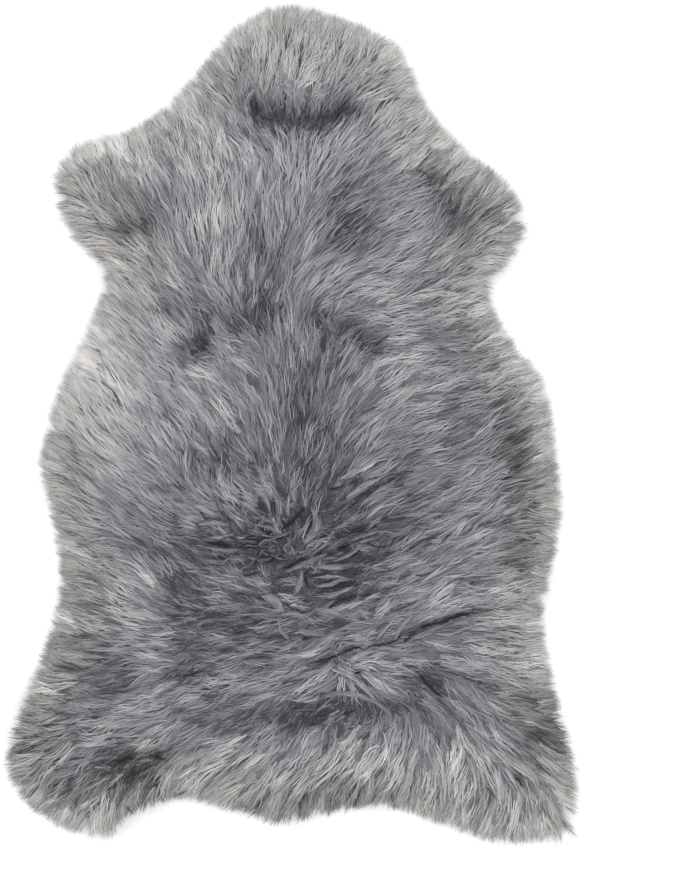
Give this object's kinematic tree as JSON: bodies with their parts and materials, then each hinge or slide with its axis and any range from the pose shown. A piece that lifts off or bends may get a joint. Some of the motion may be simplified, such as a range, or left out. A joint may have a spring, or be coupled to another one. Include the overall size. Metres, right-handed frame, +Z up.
{
  "type": "sheepskin rug",
  "caption": "Long-wool sheepskin laid flat with the wool up: a tanned pelt in its natural outline, with dense grey wool that falls in locks over its edge.",
  "frame": {"origin": "on the floor, under the middle of the rug's own box", "axes": "+Z is up, away from the floor and out of the wool; +Y runs along the back towards the neck; +X runs to the right flank as the rug is seen from above with the neck away from the viewer"},
  "size_m": [0.65, 0.95, 0.0475],
  "materials": {
    "wool": "long grey dyed wool in soft wavy locks, dark near the skin and pale at the tips",
    "skin": "tanned flesh side, suede-like and matt"
  },
  "bodies": {
    "root": {"pelt": "wool"}
  },
  "joints": []
}
